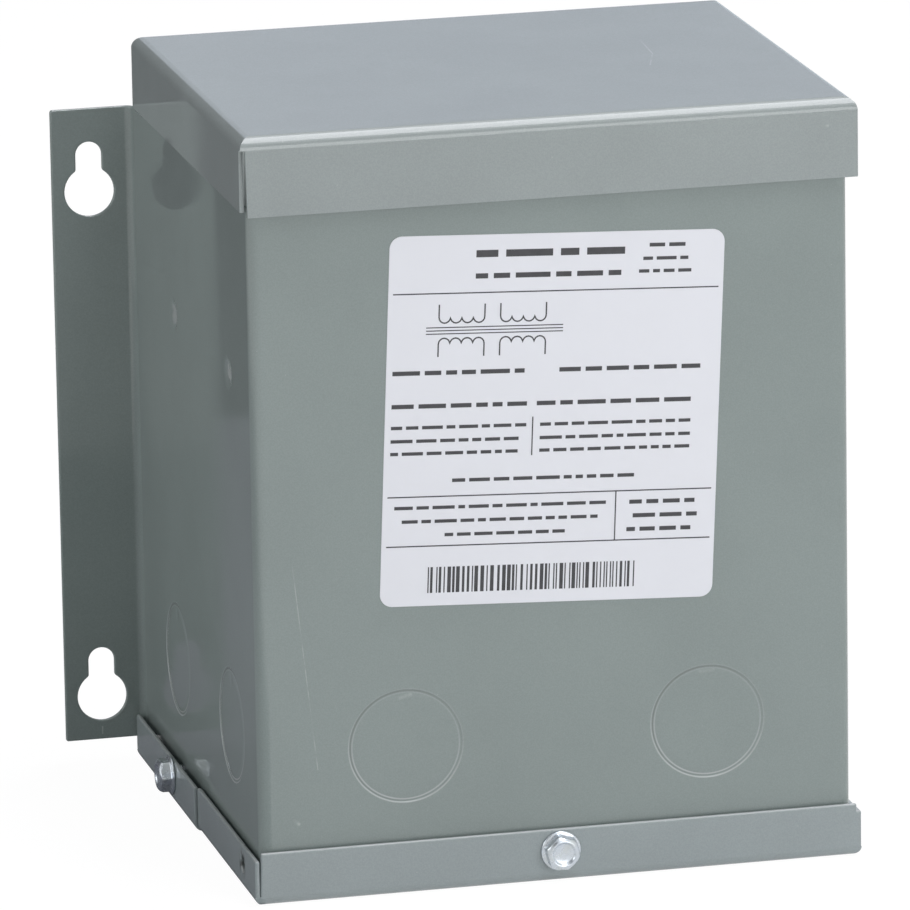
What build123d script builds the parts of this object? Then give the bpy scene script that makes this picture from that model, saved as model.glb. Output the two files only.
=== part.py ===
from build123d import *
import os

# Small wall-hung buck boost transformer in a folded, painted sheet-steel case.
# Millimetres. X runs to the right, Y towards the wall, Z up; the case stands on z = 0.

# Sheet steel and its bends
sheet = 1.2
inner_bend = 2.0
outer_bend = inner_bend + sheet
overrun = 5.0                  # how far a cut passes the faces that it opens
match_tolerance = 0.01         # how close a corner must lie to be picked for a bend
quarter_turn = 90.0            # degrees

# Case: one hat-shaped wrapper of flange, side, front, side, flange
case_width = 152.4
case_height = 195.3
wall_depth = 139.7             # front of the case to the wall
back_depth = 125.0             # front of the case to the rear face of the back panel

# Mounting flanges and their keyholes
flange_width = 21.4
flange_bottom = 5.6
flange_drop = 20.8             # top of the case to the flanges' upper ends
flange_corner = 0.7
keyhole_edge = 9.9             # centre of the round part to the flange's outer edge
keyhole_low = 11.7             # lower round part's centre above the flange's lower end
keyhole_high = 22.0            # upper round part's centre below the flange's upper end
keyhole_radius = 6.5
keyhole_slot_width = 6.8
keyhole_rise = 9.7             # round part's centre to the centre of the slot's end
keyhole_blend = 1.0

# Lid and base covers
cover_gap = 0.8                # air between the case and the walls of its covers
seat_clearance = 0.05          # case edges to the bends of the covers that they rest in
lid_front_skirt = 20.0
lid_side_skirt = 18.8
lid_short_head = 1.3           # the lid's front skirt stops short of its left side by this much
lid_short_foot = 1.65          # under the bend and by this much at the rim
lid_corner_gap = 0.4           # rear of the lid's front skirt to the front edges of its side skirts
base_inner_bend = 1.3
base_outer_bend = base_inner_bend + sheet
base_front_wall = 13.7
base_side_wall = 11.8
base_slit_head = 0.06          # the open seam at the base's left corner widens from the bend
base_slit_foot = 0.36          # to the rim; the right corner is closed
base_split_depth = 66.3        # front of the case to the seam between the two base covers
base_seam = 0.2
rear_base_step = 0.75          # the rear cover's walls stand out this much past the front cover's
rear_base_clearance = 0.5      # rear cover's end to the front of the flanges
rear_base_corner = 3.5
vent_radius = 2.2
vent_height = 7.0
vent_depth = 13.1              # front of the case to the small hole in the base's side walls

# Knockouts
knockout_radius = 14.3
knockout_shear = 0.12          # ring-shaped gap round a knockout
knockout_bevel_width = 1.3
knockout_bevel_depth = 0.25
knockout_tie_width = 2.6
knockout_height = 38.0
front_knockout_pitch = 77.6
side_knockout_depth = 63.2     # front of the case to the middle of the side knockouts
side_knockout_pitch = 64.4

# Round dimples in the sides
dimple_radius = 5.0
dimple_depth = 0.6
dimple_height = 129.8
dimple_middle = 59.4           # front of the case to the middle of a side's dimples
dimple_pitch = 64.4

# Hex washer-head screws
front_screw_height = 8.1
side_screw_height = 7.7
front_screw_turn = 44.0        # degrees, how the front screw happens to stand
side_screw_depth = 93.8        # front of the case to the screws in the sides of the base
washer_radius = 5.1
washer_thickness = 1.0
hex_flats = 7.94
hex_height = 2.9
hex_edge = 0.5
dish_radius = 2.85
dish_depth = 0.7
shank_radius = 2.4
shank_length = 9.0
shank_clearance = 0.15

# Rating label
label_width = 85.2
label_height = 93.9
label_thickness = 0.2
label_corner = 3.2
label_drop = 9.3               # lid's front rim to the label's top
label_offset = -0.2            # label's middle to the middle of the front
label_tilt = -2.6              # degrees, clockwise seen from the front

# Potted core and coil in the upper part of the case
core_bottom = 62.0
core_top_clearance = 4.0

# Places that follow from the sizes
cover_reach = cover_gap + sheet
screw_reach = washer_thickness + hex_height
overall_depth = screw_reach + cover_reach + wall_depth
front_y = cover_reach + screw_reach - overall_depth / 2
wall_y = front_y + wall_depth
flange_y = wall_y - sheet
back_y = front_y + back_depth
case_half = case_width / 2
inside_half = case_half - sheet
flange_half = case_half + flange_width
cover_half = case_half + cover_reach
rear_base_half = cover_half + rear_base_step
cover_front_y = front_y - cover_reach
inside_front_y = front_y + sheet
inside_back_y = back_y - sheet
bend_overlap = max(inner_bend - cover_gap, 0)
edge_lift = sheet + inner_bend - (inner_bend ** 2 - bend_overlap ** 2) ** 0.5 + seat_clearance
case_bottom = edge_lift        # the case's edges rest in the inner bends of the covers
case_top = case_height - edge_lift
flange_top = case_height - flange_drop
keyhole_x = flange_half - keyhole_edge
keyhole_heights = (flange_bottom + keyhole_low, flange_top - keyhole_high)
base_split_y = front_y + base_split_depth
rear_base_end = flange_y - rear_base_clearance
side_knockout_y = front_y + side_knockout_depth
dimple_y = front_y + dimple_middle
label_centre_height = case_height - lid_front_skirt - label_drop - label_height / 2
side_screw_y = front_y + side_screw_depth
vent_y = front_y + vent_depth


def block(x0, x1, y0, y1, z0, z1):
    """A box between the given faces."""
    centre = Pos((x0 + x1) / 2, (y0 + y1) / 2, (z0 + z1) / 2)
    return centre * Box(x1 - x0, y1 - y0, z1 - z0)


def facing(x, y, z, turn):
    """A place whose own Z points out of the case, turned from the front to the left or right."""
    return Pos(x, y, z) * Rot(0, 0, turn) * Rot(quarter_turn, 0, 0)


def picked(vertices, corners):
    """The vertices of an outline that lie on the given corners."""
    chosen = []
    for vertex in vertices:
        for x, y in corners:
            if abs(vertex.X - x) < match_tolerance and abs(vertex.Y - y) < match_tolerance:
                chosen.append(vertex)
    return chosen


def hat_outline():
    """Plan of the wrapper: flange, side, front, side, flange, with its bends."""
    tight = [(-case_half, flange_y), (case_half, flange_y)]
    tight += [(-inside_half, inside_front_y), (inside_half, inside_front_y)]
    wide = [(-case_half, front_y), (case_half, front_y), (-inside_half, wall_y), (inside_half, wall_y)]
    path = [(-flange_half, flange_y), tight[0], wide[0], wide[1], tight[1], (flange_half, flange_y)]
    path += [(flange_half, wall_y), wide[3], tight[3], tight[2], wide[2], (-flange_half, wall_y)]
    with BuildSketch() as plan:
        with BuildLine():
            Polyline(*path, close=True)
        make_face()
        fillet(picked(plan.vertices(), wide), outer_bend)
        fillet(picked(plan.vertices(), tight), inner_bend)
    return plan.sketch


def keyhole_cut(x, z):
    """A keyhole through a flange: round below, narrow slot above, softened shoulders."""
    slot = Pos(0, keyhole_rise / 2) * Rectangle(keyhole_slot_width, keyhole_rise)
    slot_end = Pos(0, keyhole_rise) * Circle(keyhole_slot_width / 2)
    outline = Circle(keyhole_radius) + slot + slot_end
    shoulders = outline.vertices().filter_by(lambda v: 0 < v.Y < keyhole_radius)
    outline = fillet(shoulders, keyhole_blend)
    return extrude(facing(x, flange_y, z, 0) * outline, sheet + overrun, both=True)


def dimple_cut(side, step):
    """The cut of a shallow, evenly rounded dimple in the left (side -1) or right (side 1) of the case."""
    with BuildSketch(Plane.XZ) as half_section:
        with BuildLine():
            bowl = TangentArc((0, -dimple_depth), (dimple_radius, 0), tangent=(1, 0))
            Polyline(bowl @ 1, (dimple_radius, overrun), (0, overrun), bowl @ 0)
        make_face()
    cutter = revolve(half_section.sketch, Axis.Z)
    y = dimple_y + step * dimple_pitch / 2
    return facing(side * case_half, y, dimple_height, side * quarter_turn) * cutter


def knockout_places():
    """Name and place of each knockout, on the outer face of the wrapper."""
    places = []
    for name, side in (("left", -1), ("right", 1)):
        x = side * front_knockout_pitch / 2
        places.append((f"front_knockout_{name}", facing(x, front_y, knockout_height, 0)))
        for end, step in (("front", -1), ("rear", 1)):
            y = side_knockout_y + step * side_knockout_pitch / 2
            place = facing(side * case_half, y, knockout_height, side * quarter_turn)
            places.append((f"{name}_knockout_{end}", place))
    return places


def screw_places():
    """Name and place of each cover screw, on the outer face of the base walls."""
    front = facing(0, cover_front_y, front_screw_height, 0) * Rot(0, 0, front_screw_turn)
    places = [("front_cover_screw", front)]
    for name, side in (("left", -1), ("right", 1)):
        place = facing(side * rear_base_half, side_screw_y, side_screw_height, side * quarter_turn)
        places.append((f"{name}_cover_screw", place))
    return places


def drilled(shape):
    """The shape with a hole for the shank of every cover screw."""
    for _, place in screw_places():
        shape -= place * Cylinder(shank_radius + shank_clearance, 2 * shank_length)
    return shape


def make_wrapper():
    """Front, sides and flanges, folded from one sheet."""
    body = Pos(0, 0, case_bottom) * extrude(hat_outline(), case_top - case_bottom)
    left_end = -flange_half - overrun
    right_end = flange_half + overrun
    rear_end = wall_y + overrun
    body -= block(left_end, right_end, back_y, rear_end, flange_top, case_height)
    for side in (-1, 1):
        ends = sorted((side * (case_half - outer_bend), side * right_end))
        body -= block(*ends, flange_y - inner_bend, rear_end, 0, flange_bottom)
    corners = [e for e in body.edges().filter_by(Axis.Y) if abs(e.center().X) > flange_half - match_tolerance]
    body = fillet(corners, flange_corner)
    for side in (-1, 1):
        for z in keyhole_heights:
            body -= keyhole_cut(side * keyhole_x, z)
        for step in (-1, 1):
            body -= dimple_cut(side, step)
    for _, place in knockout_places():
        body -= place * Cylinder(knockout_radius, 2 * (sheet + overrun))
    return drilled(body)


def folded_pan(half_width, y_front, y_rear, z_plate, z_rim, ends, bend):
    """A plate with side walls and, at the ends named, end walls folded from the same sheet."""
    low, high = sorted((z_plate, z_rim))
    pan = block(-half_width, half_width, y_front, y_rear, low, high)
    inner_front = y_front + sheet if "front" in ends else y_front - overrun
    inner_rear = y_rear - sheet if "rear" in ends else y_rear + overrun
    inner_low = low + sheet if z_plate < z_rim else low - overrun
    inner_high = high + overrun if z_plate < z_rim else high - sheet
    hollow = block(sheet - half_width, half_width - sheet, inner_front, inner_rear, inner_low, inner_high)
    for_plate = []
    for solid, plate_z, front, rear, side in (
        (pan, z_plate, y_front, y_rear, half_width),
        (hollow, inner_low if z_plate < z_rim else inner_high, inner_front, inner_rear, half_width - sheet),
    ):
        bends = []
        for edge in solid.edges():
            spot = edge.center()
            on_plate = abs(spot.Z - plate_z) < match_tolerance
            on_side = abs(abs(spot.X) - side) < match_tolerance
            on_front = "front" in ends and abs(spot.Y - front) < match_tolerance
            on_rear = "rear" in ends and abs(spot.Y - rear) < match_tolerance
            if on_plate and (on_side or on_front or on_rear):
                bends.append(edge)
        for_plate.append(fillet(bends, bend + sheet if solid is pan else bend))
    return for_plate[0] - for_plate[1]


def seam_cut(side, outer, inner_head, inner_foot, head, foot, depth):
    """An upright cut into the front of a cover, from its outer x in to an edge that leans a little."""
    past_foot = foot + overrun if foot > head else foot - overrun
    corners = [(outer, past_foot), (outer, head), (inner_head, head)]
    corners += [(inner_foot, foot), (inner_foot, past_foot)]
    outline = make_face(Polyline(*[(side * x, z) for x, z in corners], close=True))
    return extrude(facing(0, cover_front_y + depth, 0, 0) * outline, depth + overrun)


def make_lid():
    """Folded cap with skirts all round; the front skirt is flush at the right and short at the left."""
    rear = back_y + cover_reach
    rim = case_height - lid_front_skirt
    head = case_height - outer_bend
    skirt_rear = cover_front_y + sheet
    lid = folded_pan(cover_half, cover_front_y, rear, case_height, rim, ("front", "rear"), inner_bend)
    side_rim = case_height - lid_side_skirt
    past = cover_half + overrun
    for side in (-1, 1):
        skirt = sorted((side * (cover_half - sheet), side * past))
        lid -= block(*skirt, skirt_rear, rear + overrun, rim - overrun, side_rim)
        lid -= block(*skirt, skirt_rear, skirt_rear + lid_corner_gap, rim - overrun, head)
    edge_head = cover_half - lid_short_head
    edge_foot = cover_half - lid_short_foot
    lid -= seam_cut(-1, past, edge_head, edge_foot, head, rim, sheet + lid_corner_gap)
    lid -= block(-past, past, back_y, rear + overrun, rim - overrun, side_rim)
    return lid


def make_front_base():
    """Removable cover under the wiring space: plate, front wall and the front half of the side walls."""
    rear = base_split_y - base_seam / 2
    cover = folded_pan(cover_half, cover_front_y, rear, 0, base_front_wall, ("front",), base_inner_bend)
    past = cover_half + overrun
    high = base_front_wall + overrun
    edge = cover_half - sheet
    for side in (-1, 1):
        wall = sorted((side * edge, side * past))
        cover -= block(*wall, cover_front_y - overrun, rear + overrun, base_side_wall, high)
        vent = facing(side * cover_half, vent_y, vent_height, side * quarter_turn)
        cover -= vent * Cylinder(vent_radius, 2 * cover_reach)
    slit_head = edge - base_slit_head
    slit_foot = edge - base_slit_foot
    cover -= seam_cut(-1, edge, slit_head, slit_foot, base_outer_bend, base_front_wall, cover_reach)
    return drilled(cover)


def make_rear_base():
    """Rear part of the base, its walls a little outside those of the front cover."""
    front = base_split_y + base_seam / 2
    cover = folded_pan(rear_base_half, front, rear_base_end, 0, base_side_wall, (), base_inner_bend)
    keep = block(-rear_base_half, rear_base_half, front, rear_base_end, 0, base_side_wall)
    rounded = keep.edges().filter_by(Axis.X).sort_by(Axis.Z)[:2].sort_by(Axis.Y)[-1]
    return drilled(cover & fillet(rounded, rear_base_corner))


def make_knockout(place):
    """A knockout disc with bevelled rim, still held at its top by a narrow tie."""
    disc_radius = knockout_radius - knockout_shear
    face_radius = disc_radius - knockout_bevel_width
    disc_depth = sheet - knockout_bevel_depth
    disc = Pos(0, 0, -sheet + disc_depth / 2) * Cylinder(disc_radius, disc_depth)
    disc += Pos(0, 0, -knockout_bevel_depth / 2) * Cone(disc_radius, face_radius, knockout_bevel_depth)
    tie_low = -sheet
    tie_high = -knockout_bevel_depth
    half = knockout_tie_width / 2
    tie = block(-half, half, disc_radius / 2, knockout_radius + overrun, tie_low, tie_high)
    tie &= Pos(0, 0, -sheet / 2) * Cylinder(knockout_radius, sheet)
    return place * (disc + tie)


def make_screw(place):
    """A hex washer-head screw with a dished top."""
    screw = Pos(0, 0, washer_thickness / 2) * Cylinder(washer_radius, washer_thickness)
    hexagon = RegularPolygon(hex_flats / 2, side_count=6, major_radius=False)
    head = Pos(0, 0, washer_thickness) * extrude(hexagon, hex_height)
    head = chamfer(head.edges().group_by(Axis.Z)[-1], hex_edge)
    screw += head
    screw -= Pos(0, 0, screw_reach - dish_depth / 2) * Cylinder(dish_radius, dish_depth)
    screw += Pos(0, 0, -shank_length / 2) * Cylinder(shank_radius, shank_length)
    return place * screw


def make_core():
    """Core and coil cast into the upper part of the case, against its walls."""
    core_top = case_top - core_top_clearance
    core = block(-inside_half, inside_half, inside_front_y, inside_back_y, core_bottom, core_top)
    front_corners = core.edges().filter_by(Axis.Z).sort_by(Axis.Y)[:2]
    return fillet(front_corners, outer_bend)


def make_label():
    """The label stuck a little crooked on the front."""
    plate = RectangleRounded(label_width, label_height, label_corner)
    place = facing(label_offset, front_y, label_centre_height, 0) * Rot(0, 0, label_tilt)
    return place * extrude(plate, label_thickness)


os.makedirs("parts", exist_ok=True)

pieces = {
    "enclosure_wrapper": make_wrapper(),
    "back_panel": block(-inside_half, inside_half, inside_back_y, back_y, case_bottom, case_top),
    "top_cover": make_lid(),
    "front_base_cover": make_front_base(),
    "rear_base_cover": make_rear_base(),
    "rating_label": make_label(),
    "potted_core": make_core(),
}
for name, place in knockout_places():
    pieces[name] = make_knockout(place)
for name, place in screw_places():
    pieces[name] = make_screw(place)

for name, shape in pieces.items():
    export_step(shape, f"parts/{name}.step")
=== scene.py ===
import math
import random

import bmesh
import bpy
from bpy.props import FloatProperty, FloatVectorProperty, IntProperty, PointerProperty
from mathutils import Matrix, Vector


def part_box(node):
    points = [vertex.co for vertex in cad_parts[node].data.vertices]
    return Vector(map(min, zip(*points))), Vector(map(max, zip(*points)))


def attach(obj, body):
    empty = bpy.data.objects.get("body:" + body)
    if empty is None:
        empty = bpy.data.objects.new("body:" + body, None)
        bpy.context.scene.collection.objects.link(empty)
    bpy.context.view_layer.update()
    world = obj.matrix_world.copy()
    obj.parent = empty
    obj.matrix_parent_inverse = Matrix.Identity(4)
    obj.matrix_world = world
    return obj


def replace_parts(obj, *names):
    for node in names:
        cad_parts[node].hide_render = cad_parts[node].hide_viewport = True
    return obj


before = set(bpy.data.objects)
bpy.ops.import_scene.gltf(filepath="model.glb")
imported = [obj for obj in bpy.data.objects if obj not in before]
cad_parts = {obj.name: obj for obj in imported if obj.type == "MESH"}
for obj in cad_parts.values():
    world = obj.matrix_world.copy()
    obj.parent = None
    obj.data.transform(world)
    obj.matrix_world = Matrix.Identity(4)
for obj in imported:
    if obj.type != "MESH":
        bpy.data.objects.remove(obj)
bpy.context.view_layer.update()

bl_info = {
    "name": "Wall-hung transformer",
    "version": (1, 0, 0),
    "blender": (4, 5, 0),
    "location": "3D View > Sidebar > Transformer",
    "description": "Dresses a buck boost transformer in a folded steel case and sets it on a studio stage",
    "category": "Object",
}

MM = 0.001
FINE = {"min": 0.0, "precision": 5}
SHARE = {"min": 0.0, "max": 1.0}
RGB = {"size": 3, **SHARE}
BODY = "root"
SHEETS = ("enclosure_wrapper", "back_panel", "top_cover", "front_base_cover", "rear_base_cover")
KNOCKOUTS = {
    "front": ("front_knockout_left", "front_knockout_right"),
    "left": ("left_knockout_front", "left_knockout_rear"),
    "right": ("right_knockout_front", "right_knockout_rear"),
}
SCREWS = {"front": "front_cover_screw", "left": "left_cover_screw", "right": "right_cover_screw"}
UP = Vector((0.0, 0.0, 1.0))
OUTWARD = {"front": Vector((0.0, -1.0, 0.0)), "left": Vector((-1.0, 0.0, 0.0)), "right": Vector((1.0, 0.0, 0.0))}

# Marks on the paint: start and end in millimetres of the shared frame, half width in millimetres, strength
SCRATCHES_AND_HIGHLIGHTS = (
    ((-66.8, -66.9, 86.7), (-61.3, -66.9, 33.6), 0.22, 0.35),
    ((-67.4, -66.9, 20.9), (-66.4, -66.9, 20.0), 0.70, 0.45),
    ((44.6, 14.5, 195.3), (43.4, -2.4, 195.3), 0.35, 0.30),
    ((43.4, -2.4, 195.3), (39.2, -15.9, 195.3), 0.35, 0.30),
    ((70.1, -68.9, 188.8), (70.5, -68.9, 188.7), 0.45, 0.60),
    ((-87.9, 71.6, 9.0), (-87.9, 71.6, 7.1), 0.30, 0.60),
    # The next two marks are lighter patches at the ties of the front knockouts: painted highlights
    ((-40.2, -66.9, 50.4), (-37.4, -66.9, 51.0), 0.80, 0.30),
    ((37.2, -66.9, 50.9), (40.4, -66.9, 51.2), 0.80, 0.60),
)

# Rubbed paint and a painted highlight in the dimples of the sides: middle and radius in millimetres, strength
DIMPLE_RUB_AND_HIGHLIGHT = (
    ((-75.9, -39.7, 129.8), 4.4, 0.55), ((-75.9, 24.7, 129.8), 4.4, 0.42),
    ((75.9, -39.7, 129.8), 4.4, 0.55), ((75.9, 24.7, 129.8), 4.4, 0.42),
)

# Painted shade on the case behind the vents of the base, so that the vents look dark: middle in millimetres of the
# shared frame, radius in millimetres
VENT_SHADE = (((-76.2, -53.8, 7.0), 5.5), ((76.2, -53.8, 7.0), 5.5))
# Length of a round mark, in millimetres
SPOT_LENGTH = 0.1

# Painted shade in the groove round a knockout, darkest at its upper left, and painted highlights on the rims beside
# it, lightest below
GROOVE_SHADE = {"toward": (-0.7, 0.6, 0.6), "offset": 0.0, "half_width": 0.45 * MM}
GROOVE_RIM_HIGHLIGHTS = {"toward": (-0.2, 0.5, -0.95), "offset": 0.42 * MM, "half_width": 0.36 * MM}

# The label's print, in millimetres to the right of and below the label's upper left corner
RULE_WIDTH = 0.32
RULE_INSET = 1.2
LEVEL_RULES = (14.6, 66.0, 78.6)
UPRIGHT_RULES = ((59.5, 66.0, 78.6), (37.6, 46.4, 56.2))
# Winding sketch: rows with the side their leads are on, starts of its windings, and its core
WINDING_ROWS = ((20.6, -1.0), (27.4, 1.0))
WINDING_STARTS = (13.0, 28.6)
CORE_ROWS = (23.2, 24.0, 24.8)
CORE_ENDS = (9.8, 44.6)
CORE_WIDTH = 0.26
# Lines of dashes: left end, right end, middle and height
DASHES = (
    (22.0, 60.0, 4.8, 3.6), (22.0, 59.0, 10.4, 2.6), (66.0, 76.0, 3.6, 1.9), (64.5, 78.5, 7.0, 1.7),
    (63.5, 79.5, 10.2, 1.7), (1.6, 35.5, 34.6, 2.2), (44.0, 82.0, 34.6, 2.2), (1.6, 36.0, 43.0, 2.2),
    (38.5, 80.0, 43.0, 2.2),
    *((left, right, v, 1.7) for left, right in ((1.6, 36.0), (39.5, 78.0)) for v in (48.4, 51.8, 55.0)),
    (17.5, 64.0, 62.0, 1.8), (3.0, 57.0, 68.8, 1.7), (5.0, 55.0, 72.3, 1.7), (16.0, 47.0, 75.8, 1.7),
    (63.0, 81.5, 68.9, 2.1), (64.0, 80.5, 72.4, 2.1), (62.5, 82.0, 75.9, 2.1),
)
# Row of bars: left end, right end, top and bottom
BARS = (12.0, 64.6, 84.0, 90.6)
BAR_WIDTHS = (0.32, 0.32, 0.62, 0.92)
BAR_GAPS = (0.34, 0.34, 0.62, 0.9)

# Level of the floor, a hair under the base so that the two don't share a plane
FLOOR_LEVEL = -0.05 * MM


def rectangle(a, b):
    """Corners of an upright or level rectangle from one corner to the one across from it."""
    return a, (b[0], a[1], a[2]), b, (a[0], b[1], b[2])


# Cards that show in the glossy paint and the metal: two colours and a glow for each finish, and each card's corners
CARD_FINISHES = {
    "dark_card": ((0.04, 0.04, 0.046), (0.05, 0.05, 0.058), 0.0),
    "dark_floor_card": ((0.06, 0.06, 0.072), (0.07, 0.07, 0.085), 0.75),
    "blue_grey_card": ((0.35, 0.38, 0.43), (0.39, 0.42, 0.47), 1.0),
    "soft_card": ((0.95, 0.97, 1.0), (0.98, 0.99, 1.0), 1.95),
}
CARDS = (
    ("card_behind_left", "dark_card", rectangle((-0.10, 0.42, 0.0), (-0.80, 0.42, 0.6))),
    ("card_under_left", "dark_floor_card", rectangle((-0.0755, -0.25, 0.0003), (-0.60, 0.42, 0.0003))),
    ("card_upper_left", "dark_card",
     ((-1.60, -0.70, 0.50), (-0.50, -1.50, 0.50), (-0.40, -1.30, 1.50), (-1.50, -0.50, 1.50))),
    ("card_behind", "blue_grey_card", rectangle((-0.30, 1.20, 0.0), (1.20, 1.20, 0.85))),
    ("card_overhead", "soft_card", rectangle((-0.20, -1.80, 1.72), (0.90, 1.50, 1.72))),
)


# ---- settings

class SheetSettings(bpy.types.PropertyGroup):
    """Cut edges of the folded sheets."""
    edge_radius: FloatProperty(
        name="Edge radius", description="Rounding of the cut edges of the case under the paint",
        default=0.45 * MM, unit="LENGTH", **FINE)
    lid_radius: FloatProperty(
        name="Lid edge radius", description="Rounding of the cut edges of the lid",
        default=0.12 * MM, unit="LENGTH", **FINE)
    base_radius: FloatProperty(
        name="Base edge radius", description="Rounding of the cut edges of the base covers",
        default=0.50 * MM, unit="LENGTH", **FINE)
    edge_steps: IntProperty(name="Edge steps", description="Facets across a rounded edge", default=3, min=1, max=6)
    seam_head: FloatProperty(
        name="Seam head", description="Top of the lid down to its open left corner",
        default=3.15 * MM, unit="LENGTH", **FINE)
    seam_paint: FloatProperty(
        name="Seam paint", description="How far down thick paint closes the lid's open corner",
        default=14.0 * MM, unit="LENGTH", **FINE)


class PaintSettings(bpy.types.PropertyGroup):
    """Grey case enamel."""
    colour: FloatVectorProperty(
        name="Enamel", description="Colour of the case enamel", default=(0.258, 0.302, 0.290), subtype="COLOR", **RGB)
    # Also the colour of the painted highlights on the knockout rims, in the dimples, at the ties and on the base's
    # faces that look up
    dust_colour: FloatVectorProperty(
        name="Dust", description="Colour of dust and of rubbed paint",
        default=(0.56, 0.58, 0.58), subtype="COLOR", **RGB)
    # The lid and base colours are lighter copies of the enamel: painted light, for the stronger light on those covers
    lid_lit_colour: FloatVectorProperty(
        name="Lid enamel", description="Colour of the lid, which came out lighter",
        default=(0.322, 0.359, 0.354), subtype="COLOR", **RGB)
    base_lit_colour: FloatVectorProperty(
        name="Base enamel", description="Colour of the base covers, which came out lighter",
        default=(0.316, 0.358, 0.362), subtype="COLOR", **RGB)
    # Painted shade: the dark colour laid behind the vents and in the knockout grooves
    painted_shade_colour: FloatVectorProperty(
        name="Dirt", description="Colour of the dirt in the grooves and behind the vents",
        default=(0.040, 0.036, 0.033), subtype="COLOR", **RGB)
    # Strength of dust and of painted highlights on the knockout rims and on the base's faces that look up
    rim_dust_and_highlight: FloatProperty(
        name="Rim dust", description="How much dust and rubbed paint shows on rims",
        default=0.55, subtype="FACTOR", **SHARE)
    # Strength of the painted shade in the grooves round the knockouts
    groove_shade_strength: FloatProperty(
        name="Rim dirt", description="How dark the dirt in the grooves round the knockouts is",
        default=0.30, subtype="FACTOR", **SHARE)
    roughness: FloatProperty(
        name="Roughness", description="Mean roughness of the enamel", default=0.075, subtype="FACTOR", **SHARE)
    peel_size: FloatProperty(
        name="Orange peel", description="Width of one ripple of the sprayed surface",
        default=1.1 * MM, min=0.0001, unit="LENGTH", precision=5)
    peel_height: FloatProperty(
        name="Peel height", description="Height of the ripples",
        default=0.007 * MM, min=0.0, unit="LENGTH", precision=6)


class KnockoutSettings(bpy.types.PropertyGroup):
    """Painted groove round the knockout discs."""
    groove_depth: FloatProperty(
        name="Groove depth", description="Depth of the groove round a disc, where the paint fills it",
        default=0.17 * MM, unit="LENGTH", **FINE)
    groove_lap: FloatProperty(
        name="Paint lap", description="How far the paint in the groove reaches past the disc",
        default=0.15 * MM, unit="LENGTH", **FINE)
    shoulder_width: FloatProperty(
        name="Shoulder width", description="Inner slope of the groove, measured along the face",
        default=2.0 * MM, unit="LENGTH", **FINE)
    tie_width: FloatProperty(
        name="Tie width", description="Width of the tie that still holds a disc",
        default=2.6 * MM, unit="LENGTH", **FINE)
    tie_dent: FloatProperty(
        name="Tie dent", description="How far the disc is drawn in below its tie",
        default=0.12 * MM, unit="LENGTH", **FINE)
    sides: IntProperty(name="Facets", description="Facets round a disc", default=144, min=24)


class ScrewSettings(bpy.types.PropertyGroup):
    """Hex washer-head cover screws."""
    washer_radius: FloatProperty(
        name="Washer radius", description="Radius of the washer under the head",
        default=5.1 * MM, unit="LENGTH", **FINE)
    washer_thickness: FloatProperty(
        name="Washer thickness", description="Thickness of the washer", default=1.0 * MM, unit="LENGTH", **FINE)
    hex_flats: FloatProperty(
        name="Across flats", description="Width of the hexagon", default=7.94 * MM, unit="LENGTH", **FINE)
    hex_height: FloatProperty(
        name="Hex height", description="Height of the hexagon over the washer",
        default=2.9 * MM, unit="LENGTH", **FINE)
    dish_radius: FloatProperty(
        name="Dish radius", description="Radius of the dish in the head", default=2.85 * MM, unit="LENGTH", **FINE)
    dish_depth: FloatProperty(
        name="Dish depth", description="Depth of the dish in the head", default=0.7 * MM, unit="LENGTH", **FINE)
    shank_radius: FloatProperty(
        name="Thread radius", description="Outer radius of the thread", default=2.4 * MM, unit="LENGTH", **FINE)
    shank_length: FloatProperty(
        name="Thread length", description="Length of the thread under the washer",
        default=9.0 * MM, unit="LENGTH", **FINE)
    thread_pitch: FloatProperty(
        name="Thread pitch", description="Rise of the thread in one turn", default=1.06 * MM, unit="LENGTH", **FINE)
    front_turn: FloatProperty(
        name="Front screw turn", description="How the front screw happens to stand",
        default=math.radians(44.0), subtype="ANGLE")
    zinc_colour: FloatVectorProperty(
        name="Zinc", description="Colour of the bright zinc", default=(0.58, 0.63, 0.69), subtype="COLOR", **RGB)


class LabelSettings(bpy.types.PropertyGroup):
    """Rating label on the front."""
    width: FloatProperty(name="Width", description="Width of the label", default=85.2 * MM, unit="LENGTH", **FINE)
    height: FloatProperty(name="Height", description="Height of the label", default=93.9 * MM, unit="LENGTH", **FINE)
    thickness: FloatProperty(
        name="Film", description="Thickness of the film", default=0.2 * MM, unit="LENGTH", **FINE)
    corner: FloatProperty(
        name="Corner", description="Radius of the label's corners", default=3.2 * MM, unit="LENGTH", **FINE)
    tilt: FloatProperty(
        name="Tilt", description="How crooked the label was stuck on", default=math.radians(-2.6), subtype="ANGLE")
    film_colour: FloatVectorProperty(
        name="Film colour", description="Colour of the film", default=(0.80, 0.81, 0.85), subtype="COLOR", **RGB)
    ink_colour: FloatVectorProperty(
        name="Ink colour", description="Colour of the print", default=(0.030, 0.030, 0.034), subtype="COLOR", **RGB)
    ink_height: FloatProperty(
        name="Ink height", description="Height of the print over the film",
        default=0.02 * MM, unit="LENGTH", precision=6)


class CoreSettings(bpy.types.PropertyGroup):
    """Cast core inside the case."""
    colour: FloatVectorProperty(
        name="Casting", description="Colour of the resin and sand",
        default=(0.045, 0.045, 0.050), subtype="COLOR", **RGB)


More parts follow.
